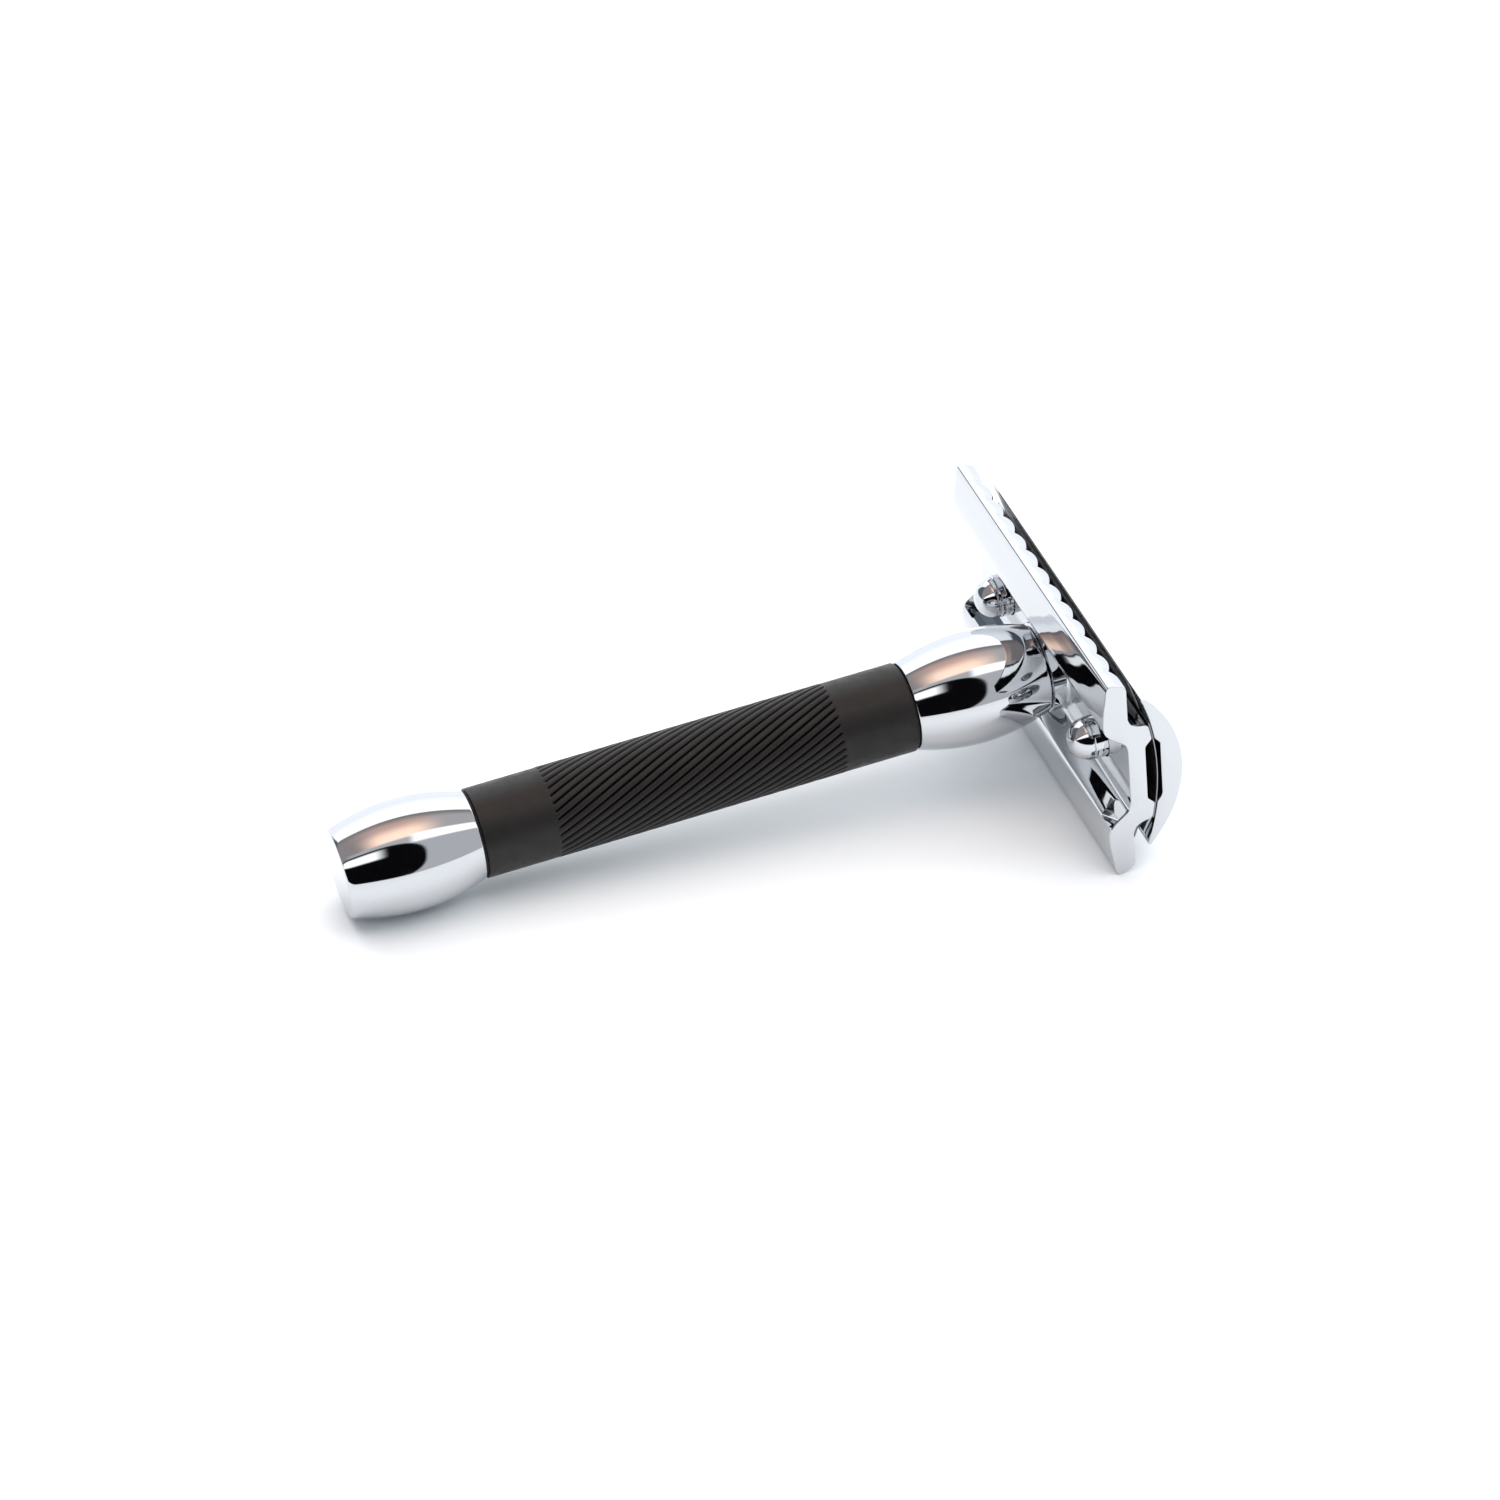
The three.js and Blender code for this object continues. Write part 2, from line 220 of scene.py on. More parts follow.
def new_material(name):
    material = bpy.data.materials.new(name)
    material.use_nodes = True
    nodes = material.node_tree.nodes
    return material, nodes, material.node_tree.links, nodes["Principled BSDF"]


def noise(nodes, links, scale, detail=3.0, stretch=(1, 1, 1)):
    """Noise in object space, in units of one metre."""
    coords = nodes.new("ShaderNodeTexCoord")
    mapping = nodes.new("ShaderNodeMapping")
    mapping.inputs["Scale"].default_value = stretch
    texture = nodes.new("ShaderNodeTexNoise")
    texture.inputs["Scale"].default_value = scale
    texture.inputs["Detail"].default_value = detail
    links.new(coords.outputs["Object"], mapping.inputs["Vector"])
    links.new(mapping.outputs["Vector"], texture.inputs["Vector"])
    return texture


def ranged(nodes, links, source, low, high, start=0.35, end=0.65):
    """The source's values from start to end, spread over low to high."""
    spread = nodes.new("ShaderNodeMapRange")
    spread.inputs["From Min"].default_value = start
    spread.inputs["From Max"].default_value = end
    spread.inputs["To Min"].default_value = low
    spread.inputs["To Max"].default_value = high
    links.new(source, spread.inputs["Value"])
    return spread.outputs["Result"]


def bump(nodes, links, height, shader, strength, distance):
    relief = nodes.new("ShaderNodeBump")
    relief.inputs["Strength"].default_value = strength
    relief.inputs["Distance"].default_value = distance
    links.new(height, relief.inputs["Height"])
    links.new(relief.outputs["Normal"], shader.inputs["Normal"])


def math_node(nodes, links, operation, *values):
    node = nodes.new("ShaderNodeMath")
    node.operation = operation
    for i, value in enumerate(values):
        if isinstance(value, (int, float)):
            node.inputs[i].default_value = value
        else:
            links.new(value, node.inputs[i])
    return node.outputs[0]


def smooth_step(nodes, links, source, start, end):
    """0 below start and 1 above end, eased between; start may be the larger."""
    node = nodes.new("ShaderNodeMapRange")
    node.interpolation_type = "SMOOTHSTEP"
    node.inputs["From Min"].default_value = start
    node.inputs["From Max"].default_value = end
    links.new(source, node.inputs["Value"])
    return node.outputs["Result"]


def blend(nodes, links, factor, under, over):
    """Colour under where the factor is 0 and over where it is 1."""
    node = nodes.new("ShaderNodeMix")
    node.data_type = "RGBA"
    links.new(factor, node.inputs["Factor"])
    for slot, colour in ((6, under), (7, over)):
        if isinstance(colour, tuple):
            node.inputs[slot].default_value = (*colour, 1)
        else:
            links.new(colour, node.inputs[slot])
    return node.outputs[2]


def product(nodes, links, *factors):
    result = factors[0]
    for factor in factors[1:]:
        result = math_node(nodes, links, "MULTIPLY", result, factor)
    return result


def chrome():
    """Mirror chrome plate: faint polishing waves and slightly uneven gloss."""
    material, nodes, links, shader = new_material("chrome_plate")
    shader.inputs["Base Color"].default_value = (0.58, 0.595, 0.615, 1)
    shader.inputs["Metallic"].default_value = 1
    cloud = noise(nodes, links, 420, 4)
    links.new(ranged(nodes, links, cloud.outputs["Fac"], 0.02, 0.07), shader.inputs["Roughness"])
    wave = noise(nodes, links, 160, 1)
    bump(nodes, links, wave.outputs["Fac"], shader, 0.02, 0.0002)
    return material


def satin_black():
    """Warm black anodised sleeve: fine blasted grain, cloudy gloss, with painted shade darkening
    the knurl's grooves.
    """
    material, nodes, links, shader = new_material("satin_black")
    tint = noise(nodes, links, 300, 3)
    ramp = nodes.new("ShaderNodeValToRGB")
    ramp.color_ramp.elements[0].color = (0.0125, 0.0113, 0.011, 1)
    ramp.color_ramp.elements[1].color = (0.021, 0.019, 0.0185, 1)
    links.new(tint.outputs["Fac"], ramp.inputs["Fac"])
    # Painted shade: the colour darkens to near black deep in the knurl grooves, by the stored
    # groove value.
    depth = nodes.new("ShaderNodeAttribute")
    depth.attribute_name = "groove"
    shade = blend(nodes, links, depth.outputs["Fac"], ramp.outputs["Color"], PAINTED_GROOVE_SHADE)
    links.new(shade, shader.inputs["Base Color"])
    shader.inputs["Metallic"].default_value = 0.25
    shader.inputs["Specular IOR Level"].default_value = 0.34
    cloud = noise(nodes, links, 900, 2)
    links.new(ranged(nodes, links, cloud.outputs["Fac"], 0.4, 0.52), shader.inputs["Roughness"])
    grain = noise(nodes, links, 9000, 2)
    bump(nodes, links, grain.outputs["Fac"], shader, 0.25, 0.00002)
    return material


def plain_steel(name, tone, rough, lines):
    """Steel with fine lines along the head, from grinding or turning."""
    material, nodes, links, shader = new_material(name)
    shader.inputs["Base Color"].default_value = (tone, tone * 1.01, tone * 1.03, 1)
    shader.inputs["Metallic"].default_value = 1
    scratch = noise(nodes, links, 900, 3, lines)
    rough_value = ranged(nodes, links, scratch.outputs["Fac"], rough * 0.7, rough * 1.3)
    links.new(rough_value, shader.inputs["Roughness"])
    bump(nodes, links, scratch.outputs["Fac"], shader, 0.08, 0.00002)
    return material


def matt_rubber():
    material, nodes, links, shader = new_material("ring_black")
    shader.inputs["Base Color"].default_value = (0.006, 0.006, 0.006, 1)
    cloud = noise(nodes, links, 2500, 2)
    links.new(ranged(nodes, links, cloud.outputs["Fac"], 0.6, 0.8), shader.inputs["Roughness"])
    return material


CHROME = chrome()
SATIN_BLACK = satin_black()
STEEL = plain_steel("machined_steel", 0.6, 0.3, (1, 12, 12))
BLADE_STEEL = plain_steel("blade_steel", 0.3, 0.35, (1, 0.06, 8))
RING_BLACK = matt_rubber()


def finish_piece(piece, material, body, slot, *nodes):
    piece.data.materials.clear()
    piece.data.materials.append(material)
    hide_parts(*nodes)
    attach(piece, body)


# ---- handle ---------------------------------------------------------------------------


def barrel(start, end, first=0.0, last=1.0, steps=40):
    """(u, radius) along a barrel's bulge, from the share first to the share last."""
    sag = BARREL_RADIUS - BARREL_END_RADIUS
    rows = []
    for i in range(steps + 1):
        t = first + (last - first) * i / steps
        rows.append((start + (end - start) * t, BARREL_RADIUS - sag * (2 * t - 1) ** 2))
    return rows


def make_knob():
    face = [(0.03, 0), (0.01, 2.0), (0, 4.4)]
    bulge = barrel(0, KNOB_END, 0.03, 0.985)
    rim = round_corner([(0, 4.4), (0, 4.82), bulge[0]], 0.16)
    end = round_corner([bulge[-1], (KNOB_END, BARREL_END_RADIUS), (KNOB_END, 4.2)], 0.15)
    bore = [(KNOB_END, BORE_RADIUS), (3.7, BORE_RADIUS), (3.7, 0)]
    knob = lathe("knob_barrel", face + rim[1:-1] + bulge + end[1:] + bore)
    finish_piece(knob, CHROME, "handle", "chrome", "end_knob")


def make_collar():
    bulge = barrel(COLLAR_START, COLLAR_END, 0.015, 0.96)
    front = round_corner([(COLLAR_START, 4.2), (COLLAR_START, 4.9), bulge[0]], 0.15)
    nose = round_corner([bulge[-1], (COLLAR_END, 4.95), (COLLAR_END, 3.2)], 0.45, 8)
    bore = [(COLLAR_END, 2.75), (COLLAR_END - 0.35, 2.62), (69.9, 2.62), (69.9, BORE_RADIUS)]
    start = [(COLLAR_START, BORE_RADIUS)]
    profile = start + front + bulge[1:] + nose[1:] + bore + start
    collar = lathe("collar_barrel", profile)
    finish_piece(collar, CHROME, "handle", "chrome", "collar")


def make_ring(name, node, start, end):
    profile = [(start, RING_INNER), (start, RING_OUTER), (end, RING_OUTER), (end, RING_INNER),
               (start, RING_INNER)]
    ring = lathe(name, profile, 96)
    finish_piece(ring, RING_BLACK, "handle", "ring", node)


def knurl_radius(i, depth):
    """Radius at the i-th point around: broad rounded ridges between narrow grooves."""
    phase = i % KNURL_POINTS / KNURL_POINTS
    away = abs(phase - 0.5) * 2
    groove = max(0.0, 1 - away / 0.5)
    crest = math.cos((1 - away) * math.pi / 2)
    shape = crest * KNURL_CREST - KNURL_DEPTH * (groove * groove * (3 - 2 * groove))
    return SLEEVE_RADIUS + depth * shape


def mark_groove_shade(sleeve):
    """Stores at each vertex how much painted shade it gets, from 0 on the smooth tube to 1 deep in
    a groove.
    """
    groove = sleeve.data.attributes.new("groove", "FLOAT", "POINT")
    for vertex, value in zip(sleeve.data.vertices, groove.data):
        off = vertex.co - KNOB_FACE
        below = SLEEVE_RADIUS / 1000 - (off - AXIS * off.dot(AXIS)).length
        value.value = min(1, max(0, below / (PAINTED_GROOVE_SHADE_SHARE * KNURL_DEPTH / 1000)))


def sleeve_rows():
    """(u, radius, knurl depth share) along the sleeve; a radius of None is the knurl's own."""
    length, steps = KNURL_END - KNURL_START, 90
    start = [(SLEEVE_START, SLEEVE_END_RADIUS), (SLEEVE_START, SLEEVE_RADIUS),
             (20, SLEEVE_RADIUS)]
    end = [(60, SLEEVE_RADIUS), (SLEEVE_END, SLEEVE_RADIUS), (SLEEVE_END, SLEEVE_END_RADIUS)]
    rows = [(SLEEVE_START, SLEEVE_BORE, 0.0), (SLEEVE_START, SLEEVE_END_RADIUS, 0.0)]
    rows += [(u, r, 0.0) for u, r in round_corner(start, 0.1, 4)[1:-1]]
    rows += [(u, None, 0.0) for u in (SLEEVE_START + 3, KNURL_START - 0.1, KNURL_START)]
    for i in range(steps + 1):
        along = KNURL_RAMP + (length - 2 * KNURL_RAMP) * i / steps
        rows.append((KNURL_START + along, None, 1.0))
    rows += [(u, None, 0.0) for u in (KNURL_END, KNURL_END + 0.1, SLEEVE_END - 3)]
    rows += [(u, r, 0.0) for u, r in round_corner(end, 0.1, 4)[1:-1]]
    return rows + [(SLEEVE_END, SLEEVE_END_RADIUS, 0.0), (SLEEVE_END, SLEEVE_BORE, 0.0)]


def make_sleeve():
    """Smooth tube whose middle carries fine slanting grooves."""
    around = KNURL_GROOVES * KNURL_POINTS
    rows = sleeve_rows()
    verts = []
    for u, radius, depth in rows:
        along = min(max(u, KNURL_START), KNURL_END) - KNURL_START
        twist = -KNURL_SLOPE * along / SLEEVE_RADIUS
        for i in range(around):
            r = radius or knurl_radius(i, depth)
            angle = 2 * math.pi * i / around + twist
            verts.append((u, r * math.cos(angle), r * math.sin(angle)))
    faces = ring_faces(around, len(rows), closed=True)
    sleeve = make_piece("knurled_sleeve", verts, faces, 50)
    mark_groove_shade(sleeve)
    finish_piece(sleeve, SATIN_BLACK, "handle", "sleeve", "grip_sleeve")


def dress_rod():
    """The hidden core rod stays as it came from CAD, with a turned-steel look."""
    rod = frame["nodes"]["core_rod"]
    rod.data.materials.clear()
    rod.data.materials.append(STEEL)


# ---- head -----------------------------------------------------------------------------


def clamp_curve(w, offset):
    return BLADE_CROWN + offset - BLADE_CURVE * w * w


def clamp_points(offset, start, end, steps):
    return [(clamp_curve(w, offset), w)
            for w in (start + (end - start) * i / steps for i in range(steps + 1))]


def mirrored(half):
    """A closed section from a half that starts and ends on the middle line, w = 0."""
    lower = [(u, -w) for u, w in reversed(half[1:-1])]
    return half + lower


def guard_half():
    """(u, w) of half the guard's section: out along the cap side, back along the handle side."""
    cap_side = [(WEB_TOP, 0), (WEB_TOP, SLOT_HALF_WIDTH),
                (clamp_curve(4.4, -CLAMP_OFFSET), 4.4)]
    clamp = clamp_points(-CLAMP_OFFSET, 4.6, 5.9, 4)
    wall = [(83.62, 6.2), (83.3, 6.42), (82.5, 6.55), (81.75, 6.95), (BAR_TOP, BAR_ROOT + 0.2)]
    bar = [(BAR_TOP, 8.2), (BAR_TOP, 9.4), (BAR_TOP, 10.6), (BAR_TOP, 11.7), (81.27, 12.2),
           (80.9, 12.46), (80.4, 12.66), (79.95, BAR_TIP - 0.04), (79.35, BAR_TIP)]
    under = [(79.15, 12.3), (79.0, 11.2), (78.78, 9.8), (78.62, 8.4), (78.6, 7.2),
             (78.8, 6.5), (79.3, 5.9), (80.6, 4.9), (81.05, 4.35), (WEB_FACE, 3.6),
             (WEB_FACE, 0)]
    corner = round_corner(cap_side[:3] + [clamp[0]], 0.2, 3)
    rest = round_corner([clamp[-1]] + wall + [bar[0]], 0.3, 4)
    lip = round_corner(bar[-2:] + under, 0.35, 4)
    return corner + clamp[1:] + rest[1:] + bar[1:-1] + lip[1:]


def lobe_height(v):
    """Height of the row of rounded lobes at v, below the bar's top."""
    pitch = HEAD_LENGTH / BAR_LOBES
    half = pitch / 2
    radius = (half * half + LOBE_HEIGHT * LOBE_HEIGHT) / (2 * LOBE_HEIGHT)
    if abs(v) > HEAD_LENGTH / 2 - half:
        return 0.0
    across = (v + HEAD_LENGTH / 2) % pitch - half
    return math.sqrt(radius * radius - across * across) - radius


def inset(section, amount, sharp_w):
    """The closed section with each point moved inwards, for a rounded end.

    The move fades out towards |w| = sharp_w, where the section comes to a thin edge."""
    count = len(section)
    moved = []
    for i, point in enumerate(section):
        here = Vector(point)
        along = (Vector(section[(i + 1) % count]) - here).normalized()
        along += (here - Vector(section[i - 1])).normalized()
        inward = Vector((along.y, -along.x)).normalized()
        ease = min(1, max(0, sharp_w - abs(here.y)) / 0.8)
        moved.append(tuple(here - inward * amount * ease))
    return moved


def extruded(name, section, slices, shape=None, sharp_w=99.0, bevel=0.1, sharp_degrees=30):
    """The closed section drawn along the head through the slices, its end edges rounded."""
    half = HEAD_LENGTH / 2
    steps = 3
    rounds = []
    for i in range(steps + 1):
        angle = math.pi / 2 * i / steps
        rounds.append((bevel * (1 - math.sin(angle)), bevel * (1 - math.cos(angle))))
    rows = [(-half + back, pull) for pull, back in rounds]
    rows += [(v, 0.0) for v in slices]
    rows += [(half - back, pull) for pull, back in reversed(rounds)]
    verts = []
    for v, pull in rows:
        for u, w in (inset(section, pull, sharp_w) if pull else section):
            verts.append((shape(u, v, w) if shape else u, v, w))
    count = len(section)
    faces = ring_faces(count, len(rows))
    faces.append(tuple(range(count)))
    faces.append(tuple(reversed(range((len(rows) - 1) * count, len(rows) * count))))
    return make_piece(name, verts, faces, sharp_degrees)


def on_bar(u, v, w):
    """Lowers the bar's top between its lobes."""
    drop = lobe_height(v)
    reach = min(1, max(0, (abs(w) - BAR_ROOT) / 0.6))
    rise = min(1, max(0, (u - 80.0) / 1.4))
    return u + drop * reach * rise if abs(w) > BAR_ROOT else u


def drill(piece, start, end, radius, v=0.0, around=96):
    tool = lathe("tool", [(start, 0), (start, radius), (end, radius), (end, 0)], around, v)
    boolean(piece, tool, "DIFFERENCE")


def cut_drains(plate):
    """Square drains through the wings' inner walls, near the four corners."""
    half, slant = DRAIN_SIDE / 2, math.pi / 4
    outline = round_corner([(-1, 0), (-1, 1), (1, 1), (1, -1), (-1, -1), (-1, 0)], 0.3, 4)
    for end in (-1, 1):
        for wing in (-1, 1):
            along = Vector((math.cos(slant), 0, wing * math.sin(slant)))
            aside = Vector((-math.sin(slant), 0, wing * math.cos(slant)))
            middle = Vector((DRAIN_U, end * (HEAD_LENGTH / 2 - DRAIN_FROM_END), wing * DRAIN_W))
            verts = []
            for reach in (-DRAIN_REACH / 2, DRAIN_REACH / 2):
                for p, q in outline[:-1]:
                    point = middle + along * reach + aside * p * half + Vector((0, q * half, 0))
                    verts.append(tuple(point))
            tool = make_piece("tool", verts, prism_faces(len(outline) - 1))
            boolean(plate, tool, "DIFFERENCE")


def make_guard():
    pitch = HEAD_LENGTH / BAR_LOBES
    per_lobe = 12
    count = BAR_LOBES * per_lobe
    slices = [-HEAD_LENGTH / 2 + pitch * i / per_lobe for i in range(1, count)]
    guard = extruded("guard_casting", mirrored(guard_half()), slices, on_bar)
    fillet = round_corner([(BOSS_END, BOSS_RADIUS), (WEB_FACE, BOSS_RADIUS), (WEB_FACE, 6.2)], 0.5)
    boss = [(BOSS_END, 0), (BOSS_END, 4.75), (BOSS_END + 0.15, BOSS_RADIUS)]
    boss += [(u, r) for u, r in fillet[1:]] + [(WEB_FACE + 0.6, 6.2), (WEB_FACE + 0.6, 0)]
    boolean(guard, lathe("tool", boss), "UNION")
    drill(guard, BOSS_END - 1, WEB_TOP + 1, POST_HOLE_RADIUS)
    for side in (-1, 1):
        drill(guard, WEB_FACE - 1, WEB_TOP + 1, PEG_HOLE_RADIUS, side * PEG_V)
    cut_drains(guard)
    clean(guard)
    finish_piece(guard, CHROME, "guard", "chrome", "guard_plate")


def cap_half():
    rise = CAP_CROWN - CAP_EDGE
    radius = (CAP_HALF_WIDTH ** 2 + rise ** 2) / (2 * rise)
    spread = math.asin(CAP_HALF_WIDTH / radius)
    dome = []
    for i in range(49):
        angle = spread * i / 48
        dome.append((CAP_CROWN - radius * (1 - math.cos(angle)), radius * math.sin(angle)))
    edge_u = clamp_curve(CAP_HALF_WIDTH - 0.1, CLAMP_OFFSET)
    edge = round_corner([dome[-1], (edge_u + 0.02, CAP_HALF_WIDTH), (edge_u, 9.7)], 0.12, 2)
    under = list(reversed(clamp_points(CLAMP_OFFSET, 4.5, 9.7, 14)))
    slot = round_corner([under[-1], (clamp_curve(4.3, CLAMP_OFFSET), 4.3),
                         (CAP_SLOT_FACE, SLOT_HALF_WIDTH), (CAP_SLOT_FACE, 0)], 0.2, 3)
    return dome + edge[1:] + under[1:] + slot[1:]


def make_cap():
    cap = extruded("cap_dome", mirrored(cap_half()), [-10, 0, 10], sharp_w=CAP_HALF_WIDTH)
    for v, radius in ((-PEG_V, PEG_RADIUS), (0, THREAD_MID_RADIUS), (PEG_V, PEG_RADIUS)):
        drill(cap, CAP_SLOT_FACE - 1, SOCKET_TOP + 0.05, radius + 0.05, v)
    clean(cap)
    finish_piece(cap, CHROME, "cap", "chrome", "cap_shell")


def make_peg(name, node, side):
    """A domed peg, its dome set off from the shank by a fine step."""
    dome_radius = PEG_RADIUS - 0.05
    dome = []
    for i in range(25):
        angle = math.pi / 2 * i / 24
        dome.append((PEG_TIP + dome_radius * (1 - math.cos(angle)), dome_radius * math.sin(angle)))
    base = PEG_TIP + dome_radius
    shank = [(base + 0.06, dome_radius - 0.03), (base + 0.12, PEG_RADIUS - 0.02),
             (base + 0.2, PEG_RADIUS), (SOCKET_TOP - 0.2, PEG_RADIUS),
             (SOCKET_TOP, PEG_RADIUS - 0.2), (SOCKET_TOP, 0)]
    peg = lathe(name, dome + shank, 96, side * PEG_V)
    finish_piece(peg, CHROME, "cap", "chrome", node)


def make_post():
    """The screw: a right-hand thread below a plain shank that sits in the cap."""
    around, per_turn = 72, 16
    steps = round((POST_END - POST_START) / THREAD_PITCH * per_turn)
    verts = circle(POST_START, 0.0, around) + circle(POST_START, POST_TIP_RADIUS, around)
    for k in range(1, steps + 1):
        u = POST_START + (POST_END - POST_START) * k / steps
        limit = POST_TIP_RADIUS + 0.1 + (u - POST_START) * 1.2
        for i in range(around):
            angle = 2 * math.pi * i / around
            phase = 2 * math.pi * u / THREAD_PITCH - angle
            radius = min(limit, THREAD_MID_RADIUS + THREAD_DEPTH / 2 * math.cos(phase))
            verts.append((u, radius * math.cos(angle), radius * math.sin(angle)))
    for u, radius in ((POST_END + 0.15, THREAD_MID_RADIUS), (SOCKET_TOP, THREAD_MID_RADIUS),
                      (SOCKET_TOP, 0.0)):
        verts += circle(u, radius, around)
    post = make_piece("screw_post", verts, ring_faces(around, steps + 5), 60)
    finish_piece(post, STEEL, "cap", "steel", "cap_post")


def plan_tool(points):
    """A tall prism over a closed plan of (v, w) points, for cutting the flat blade."""
    verts = [(u, v, w) for u in (-1, 1) for v, w in points]
    return make_piece("tool", verts, prism_faces(len(points)))


def circle_plan(v, radius, steps=40):
    return [(v + radius * math.cos(2 * math.pi * i / steps),
             radius * math.sin(2 * math.pi * i / steps)) for i in range(steps)]


def make_blade():
    """Cut flat with its slot, holes and corner notches, then bent over the guard."""
    half, thick = BLADE_LENGTH / 2, BLADE_THICKNESS / 2
    steps = 60
    rows = [-BLADE_HALF_WIDTH + 2 * BLADE_HALF_WIDTH * i / steps for i in range(steps + 1)]
    section = [(thick * min(1, (BLADE_HALF_WIDTH - abs(w)) / BLADE_GRIND), w) for w in rows]
    section += [(-u, w) for u, w in reversed(section[1:-1])]
    verts = [(u, v, w) for v in (-half, half) for u, w in section]
    blade = make_piece("blade_sheet", verts, prism_faces(len(section)))
    notch, shoulder = half - BLADE_NOTCH, BLADE_SHOULDER
    for side_v in (-1, 1):
        for side_w in (-1, 1):
            corner = [(notch, shoulder), (half + 1, shoulder), (half + 1, 12), (notch, 12)]
            corner = [(side_v * v, side_w * w) for v, w in corner]
            boolean(blade, plan_tool(corner), "DIFFERENCE")
    side = BLADE_SLOT_HALF
    slot = [(-notch, -side), (notch, -side), (notch, side), (-notch, side)]
    boolean(blade, plan_tool(slot), "DIFFERENCE")
    for v in (-PEG_V, 0, PEG_V):
        boolean(blade, plan_tool(circle_plan(v, PEG_HOLE_RADIUS + 0.15)), "DIFFERENCE")
    for vertex in blade.data.vertices:
        off = vertex.co - KNOB_FACE
        w = off.dot(SQUARE) * 1000
        vertex.co = vertex.co + AXIS * clamp_curve(w, 0) / 1000
    bm = bmesh.new()
    bm.from_mesh(blade.data)
    bmesh.ops.triangulate(bm, faces=[f for f in bm.faces if len(f.verts) > 4])
    bm.to_mesh(blade.data)
    bm.free()
    clean(blade)
    finish_piece(blade, BLADE_STEEL, "blade", "blade_steel", "blade")


# ---- stage ----------------------------------------------------------------------------


def make_floor():
    mesh = bpy.data.meshes.new("floor")
    corners = [(x * FLOOR_HALF, y * FLOOR_HALF, 0) for x, y in ((-1, -1), (1, -1), (1, 1), (-1, 1))]
    mesh.from_pydata(corners, [], [(0, 1, 2, 3)])
    floor = bpy.data.objects.new("floor", mesh)
    bpy.context.scene.collection.objects.link(floor)
    material, nodes, links, shader = new_material("floor_paper")
    shader.inputs["Base Color"].default_value = (0.885, 0.93, 0.96, 1)
    shader.inputs["Roughness"].default_value = 0.7
    mesh.materials.append(material)


def make_camera():
    """Where the picture is taken from: the knob's side, and above."""
    azimuth, elevation = math.radians(CAMERA_AZIMUTH), math.radians(CAMERA_ELEVATION)
    back = Vector((math.sin(azimuth) * math.cos(elevation),
                   -math.cos(azimuth) * math.cos(elevation), math.sin(elevation)))
    data = bpy.data.cameras.new("camera")
    data.sensor_width = CAMERA_SENSOR
    data.lens = CAMERA_LENS
    data.clip_start, data.clip_end = 0.01, 20
    camera = bpy.data.objects.new("camera", data)
    level = (-back).to_track_quat("-Z", "Y").to_matrix()
    turn = level @ Matrix.Rotation(math.radians(CAMERA_ROLL), 3, "Z")
    place_at = Vector(CAMERA_TARGET) + back * CAMERA_DISTANCE
    camera.matrix_world = Matrix.Translation(place_at) @ turn.to_4x4()
    bpy.context.scene.collection.objects.link(camera)
    bpy.context.scene.camera = camera


def make_overhead():
    """A square soft light, aimed at the origin, that lights the paper but not the chrome."""
    data = bpy.data.lights.new("overhead", "AREA")
    data.size = OVERHEAD_SIZE
    data.energy = OVERHEAD_POWER
    data.color = OVERHEAD_TINT
    light = bpy.data.objects.new("overhead", data)
    light.visible_glossy = False
    aim = (-Vector(OVERHEAD_PLACE)).to_track_quat("-Z", "Y")
    light.matrix_world = Matrix.Translation(OVERHEAD_PLACE) @ aim.to_matrix().to_4x4()
    bpy.context.scene.collection.objects.link(light)


def sky_angles(nodes, links):
    """rise and lean of a direction in the surroundings, in degrees."""
    coords = nodes.new("ShaderNodeTexCoord")
    split = nodes.new("ShaderNodeSeparateXYZ")
    links.new(coords.outputs["Generated"], split.inputs["Vector"])
    x, y, z = (split.outputs[i] for i in range(3))
    toward = math_node(nodes, links, "MULTIPLY", y, -1)
    rise = math_node(nodes, links, "ARCTAN2", z, toward)
    lean = math_node(nodes, links, "ARCSINE", x)
    return [math_node(nodes, links, "MULTIPLY", angle, 180 / math.pi) for angle in (rise, lean)]


def opening_edge(nodes, links, rise, lean):
    """1 on the rim of the dark opening, a flattened oval, and less inside it."""
    offset = math_node(nodes, links, "SUBTRACT", rise, HOLE_RISE)
    across = math_node(nodes, links, "DIVIDE", offset, HOLE_HALF_RISE)
    across = math_node(nodes, links, "ABSOLUTE", across)
    past = math_node(nodes, links, "SUBTRACT", lean, HOLE_LEAN)
    past = math_node(nodes, links, "MAXIMUM", past, 0)
    along = math_node(nodes, links, "DIVIDE", past, HOLE_REACH)
    return math_node(nodes, links, "ADD", math_node(nodes, links, "POWER", across, 3),
                     math_node(nodes, links, "POWER", along, 2.2))


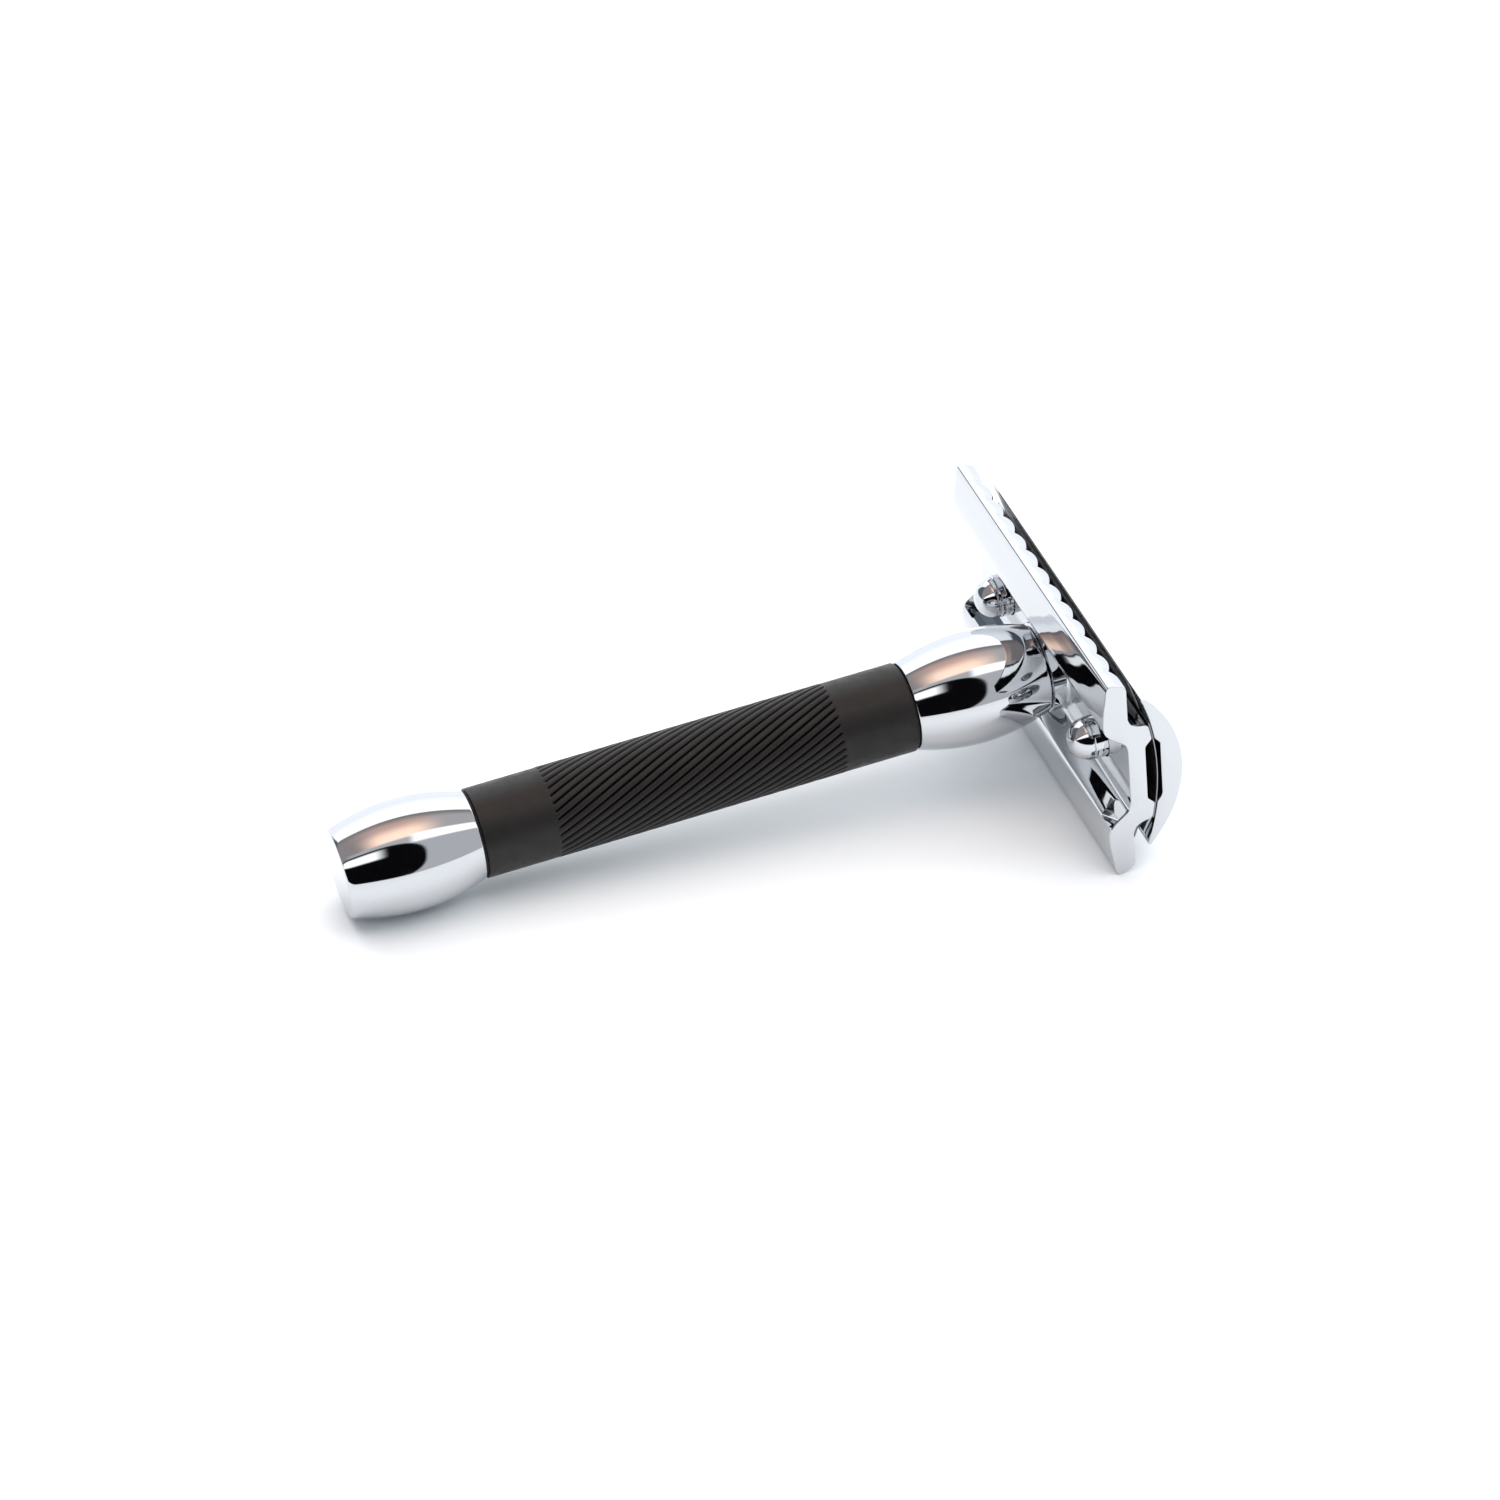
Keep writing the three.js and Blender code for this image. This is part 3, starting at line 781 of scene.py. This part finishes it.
def make_surroundings():
    """A white studio round the razor, told apart by two angles in degrees.

    rise turns from the near horizon (0) over the top (90) to the far one (180), square
    to the handle; lean is the tilt from there towards the head's end. Behind stands a
    white backdrop, overhead a warm panel with a dark edge, in front a dim grey wall with
    a dark opening towards the knob's end."""
    world = bpy.data.worlds.new("studio")
    bpy.context.scene.world = world
    world.use_nodes = True
    nodes, links = world.node_tree.nodes, world.node_tree.links
    rise, lean = sky_angles(nodes, links)
    edge = math_node(nodes, links, "ADD", rise, math_node(nodes, links, "MULTIPLY", lean, 0.2))

    def step(source, start, end):
        return smooth_step(nodes, links, source, start, end)

    def over(under, colour, *factors):
        return blend(nodes, links, product(nodes, links, *factors), under, colour)

    panel = over(PANEL_BRIGHT, PANEL_DEEP, step(rise, 80, 106))
    panel = over(panel, PANEL_GREY, step(lean, 4, 26))
    panel = over(panel, PANEL_LEFT, step(lean, -10, -26))
    panel = over(panel, PANEL_EDGE, step(edge, 104, 119))
    wall = over(WALL_LEFT, WALL_RIGHT, step(lean, -45, -20))
    front = over(wall, panel, step(rise, 70, 75))
    front = over(front, STRIP_WHITE, step(rise, 57, 61), step(rise, 77, 73), step(lean, 2, 8))
    rim = opening_edge(nodes, links, rise, lean)
    front = over(front, HOLE_BLACK, step(rim, 1.08, 0.9))
    front = over(front, STRIP_WHITE, step(rise, 42, 47), step(rise, 64, 59), step(lean, -9, -19))
    backdrop = over(BACKDROP_TOP, BACKDROP_FOOT, step(rise, 135, 165))
    backdrop = over(backdrop, BACKDROP_LEFT, step(lean, -30, -36))
    sky = over(front, backdrop, step(edge, 118, 121))
    links.new(sky, nodes["Background"].inputs["Color"])


def make_stage():
    make_floor()
    make_camera()
    make_surroundings()
    make_overhead()
    scene = bpy.context.scene
    scene.view_settings.view_transform = "Standard"
    scene.view_settings.look = "None"


# ---- assembly -------------------------------------------------------------------------

make_knob()
make_ring("knob_washer", "knob_ring", *KNOB_RING)
make_sleeve()
make_ring("collar_washer", "collar_ring", *COLLAR_RING)
make_collar()
make_guard()
make_cap()
make_peg("near_peg", "cap_peg_near", -1)
make_peg("far_peg", "cap_peg_far", 1)
make_post()
make_blade()
dress_rod()
make_stage()
